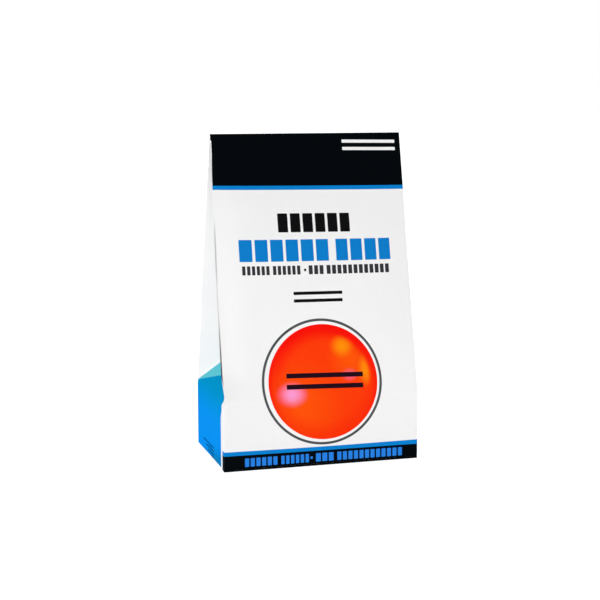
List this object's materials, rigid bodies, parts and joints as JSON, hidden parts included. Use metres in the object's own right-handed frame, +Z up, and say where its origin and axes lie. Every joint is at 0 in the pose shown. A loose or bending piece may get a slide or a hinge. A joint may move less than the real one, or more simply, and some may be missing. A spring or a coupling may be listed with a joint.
{
  "type": "tent-shaped ball carton",
  "caption": "Sealed folding carton with upright lower walls, gusseted sides and a pressed ridge, holding a small ball.",
  "frame": {"origin": "on the surface under the middle of the foot", "axes": "+Z up to the ridge, X along the ridge, the printed front faces -Y"},
  "size_m": [0.1155, 0.071, 0.188],
  "materials": {
    "board": "coated folding board with a satin varnish, printed in near black, blue, orange and grey"
  },
  "bodies": {
    "root": {"carton": "board"}
  },
  "joints": []
}
